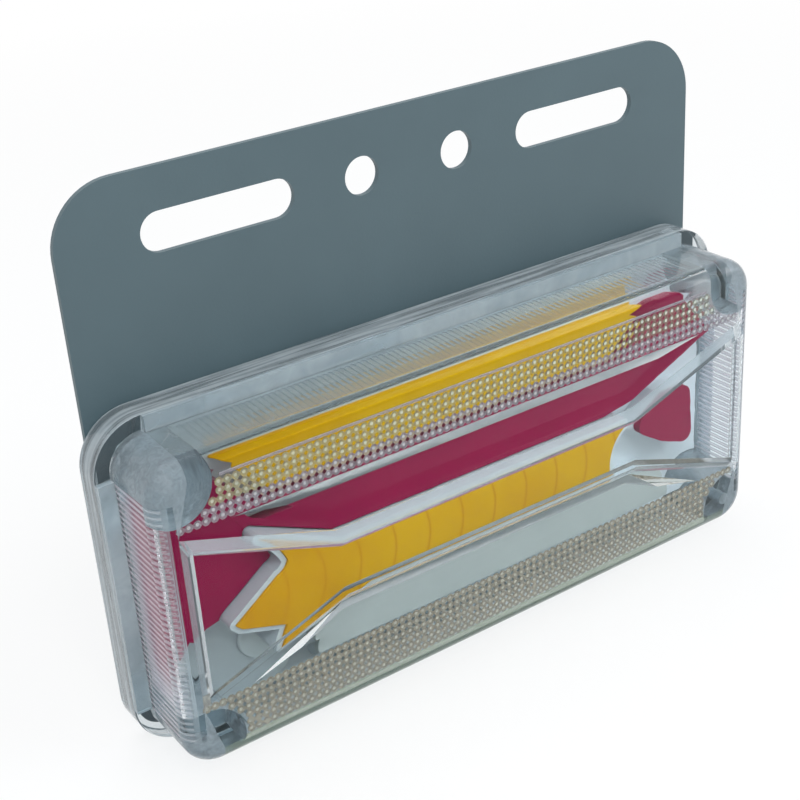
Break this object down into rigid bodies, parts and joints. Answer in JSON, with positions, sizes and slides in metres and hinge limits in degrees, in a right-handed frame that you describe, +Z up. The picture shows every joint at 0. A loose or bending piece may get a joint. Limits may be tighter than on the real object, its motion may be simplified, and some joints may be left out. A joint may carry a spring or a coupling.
{
  "type": "trailer tail light",
  "caption": "Rectangular clear trailer lamp with amber, red and white light bars behind a beaded lens, on a flat bracket with slots and holes.",
  "frame": {"origin": "midway along the bracket's line of slots and holes, on the bracket's back face", "axes": "+Z up the bracket, away from the lamp; -Y out of the lens face; X along the line of slots and holes"},
  "size_m": [0.1596, 0.0296, 0.1175],
  "materials": {
    "bracket_steel": "grey-green paint, satin",
    "clear_plastic": "clear moulded polycarbonate, polished",
    "seal_rubber": "grey silicone, matt",
    "reflector_silver": "silver-sprayed ABS, satin",
    "amber_plastic": "moulded amber acrylic, gloss",
    "red_plastic": "moulded red acrylic, gloss",
    "white_diffuser": "frosted clear acrylic",
    "board_laminate": "white solder mask",
    "led_body": "white ceramic body with phosphor window",
    "chip_black": "black epoxy, matt",
    "capacitor_tan": "tan moulded tantalum capacitor",
    "tinned_brass": "tinned, bright",
    "zinc_steel": "zinc plated",
    "gland_rubber": "black rubber, matt"
  },
  "bodies": {
    "root": {"mounting_bracket": "bracket_steel", "rear_housing": "clear_plastic", "seal_ring": "seal_rubber", "lens_cover": "clear_plastic", "reflector_tray": "reflector_silver", "amber_bar_lens": "amber_plastic", "amber_strip_lens": "amber_plastic", "red_bar_lens": "red_plastic", "red_end_lens": "red_plastic", "white_bar_lens": "white_diffuser", "circuit_board": "board_laminate", "amber_leds": "led_body", "red_leds": "led_body", "white_leds": "led_body", "resistors": "chip_black", "polarity_diodes": "chip_black", "regulator_chip": "chip_black", "filter_capacitor": "capacitor_tan", "wire_terminals": "tinned_brass", "corner_screws": "zinc_steel", "cable_gland": "gland_rubber"}
  },
  "joints": []
}
